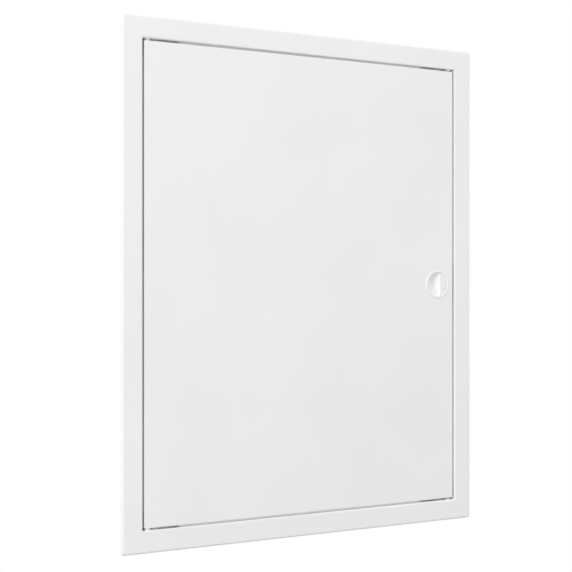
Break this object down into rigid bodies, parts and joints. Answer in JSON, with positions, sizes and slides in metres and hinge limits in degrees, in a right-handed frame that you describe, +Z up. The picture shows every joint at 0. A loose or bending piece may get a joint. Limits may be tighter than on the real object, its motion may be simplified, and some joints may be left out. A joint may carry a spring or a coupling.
{
  "type": "hinged access panel",
  "caption": "Flush hinged access panel with a flanged folded-steel surround, a recessed lift-out door leaf on pin hinges and a round quarter-turn finger latch.",
  "frame": {"origin": "centre of the cut-out, on the wall face that the flange rests against", "axes": "+X right as seen from the front, +Y into the wall, +Z up; the front of the panel faces -Y"},
  "size_m": [0.44, 0.038, 0.54],
  "materials": {
    "white_coat": "satin white powder coat on folded steel sheet",
    "galvanised": "bare galvanised steel sheet",
    "plated_steel": "bright zinc-plated steel",
    "rivet_alloy": "plain aluminium blind rivets",
    "white_plastic": "white moulded plastic, low sheen",
    "nylon": "natural nylon",
    "grey_plastic": "white moulded plastic nut",
    "spring_steel": "dark spring steel"
  },
  "bodies": {
    "surround": {"rail_top": "white_coat", "rail_bottom": "white_coat", "stile_hinge": "white_coat", "stile_latch": "white_coat", "cleat_top_left": "galvanised", "cleat_top_right": "galvanised", "cleat_bottom_left": "galvanised", "cleat_bottom_right": "galvanised", "cleat_rivets": "rivet_alloy", "stop_top": "white_coat", "stop_bottom": "white_coat", "bush_top": "nylon", "bush_bottom": "nylon", "spare_bushes": "nylon", "keeper": "galvanised", "keeper_rivets": "rivet_alloy"},
    "door": {"leaf": "white_coat", "stiffener_top": "galvanised", "stiffener_bottom": "galvanised", "bracket_top": "galvanised", "bracket_bottom": "galvanised", "pin_bottom": "plated_steel", "pin_spring": "spring_steel", "latch_housing": "white_plastic", "latch_nut": "grey_plastic"},
    "upper_pin": {"pin_top": "plated_steel", "pin_clip": "spring_steel"},
    "latch": {"latch_knob": "white_plastic", "latch_tongue": "galvanised", "tongue_washer": "plated_steel", "tongue_screw": "plated_steel"}
  },
  "joints": [
    {"name": "door_swing", "type": "hinge", "parent": "surround", "child": "door", "pos_m": [-0.1902, 0.0018, 0], "axis": [0, 0, -1], "range_deg": [0, 110]},
    {"name": "latch_turn", "type": "hinge", "parent": "door", "child": "latch", "pos_m": [0.173, 0.0018, 0], "axis": [0, 1, 0], "range_deg": [0, 90]},
    {"name": "pin_release", "type": "slide", "parent": "door", "child": "upper_pin", "axis": [0, 0, -1], "range_m": [0, 0.006], "stiffness_N_per_m": 400, "springref_m": -0.005, "deforming": ["pin_spring"]}
  ]
}
